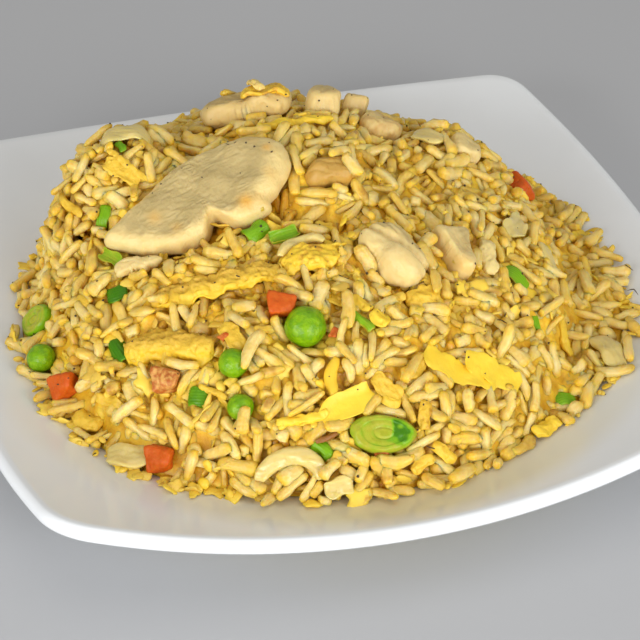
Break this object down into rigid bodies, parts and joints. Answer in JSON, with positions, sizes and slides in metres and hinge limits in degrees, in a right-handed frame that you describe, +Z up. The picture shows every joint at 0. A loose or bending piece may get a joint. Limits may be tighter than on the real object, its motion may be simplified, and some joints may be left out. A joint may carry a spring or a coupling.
{
  "type": "plate of chicken fried rice",
  "caption": "Square bowed porcelain plate with a heap of fried rice, chicken slices, egg strips and diced vegetables.",
  "frame": {"origin": "on the surface the plate stands on, under the middle of the plate", "axes": "+Z up, +X and +Y along the sides of the plate, the large chicken slice at the -X side"},
  "size_m": [0.184, 0.184, 0.0584],
  "materials": {
    "porcelain": "white glazed porcelain, high gloss",
    "rice": "cooked rice fried in oil, moist and slightly translucent",
    "chicken": "cooked chicken breast, soft sheen, pale gold edges",
    "egg": "soft scrambled egg, slight gloss",
    "pea": "green pea, wet skin",
    "carrot": "cooked carrot die, moist",
    "scallion": "cut scallion, wet, pale to dark green",
    "cabbage": "cooked cabbage and onion, translucent and wet"
  },
  "bodies": {
    "root": {"cabbage_arch": "cabbage", "cabbage_back": "cabbage", "cabbage_edge": "cabbage", "cabbage_front": "cabbage", "cabbage_front_left": "cabbage", "cabbage_middle": "cabbage", "cabbage_tall": "cabbage", "carrot_browned": "carrot", "carrot_front": "carrot", "carrot_left": "carrot", "carrot_middle": "carrot", "carrot_right": "carrot", "chicken_chunk": "chicken", "chicken_ridge": "chicken", "chicken_right": "chicken", "chicken_round": "chicken", "chicken_shred": "chicken", "chicken_slice": "chicken", "chicken_top": "chicken", "chicken_top_left": "chicken", "chicken_top_small": "chicken", "chicken_wedge": "chicken", "egg_bright_back": "egg", "egg_bright_front": "egg", "egg_browned": "egg", "egg_curl": "egg", "egg_fold": "egg", "egg_knob": "egg", "egg_leaf": "egg", "egg_left_flake": "egg", "egg_left_low": "egg", "egg_mid_high": "egg", "egg_mid_low": "egg", "egg_right_low": "egg", "egg_right_up": "egg", "egg_sliver": "egg", "egg_strand": "egg", "egg_strip": "egg", "egg_top_strip": "egg", "egg_white": "egg", "onion_arc": "cabbage", "onion_curl": "cabbage", "pea_big": "pea", "pea_left": "pea", "pea_low": "pea", "pea_middle": "pea", "plate": "porcelain", "rice_heap": "rice", "scallion_disc": "scallion", "scallion_low": "scallion", "scallion_pale": "scallion", "scallion_right": "scallion", "scallion_slice": "scallion", "scallion_top_left": "scallion", "scallion_top_right": "scallion", "scallion_tube": "scallion"}
  },
  "joints": []
}
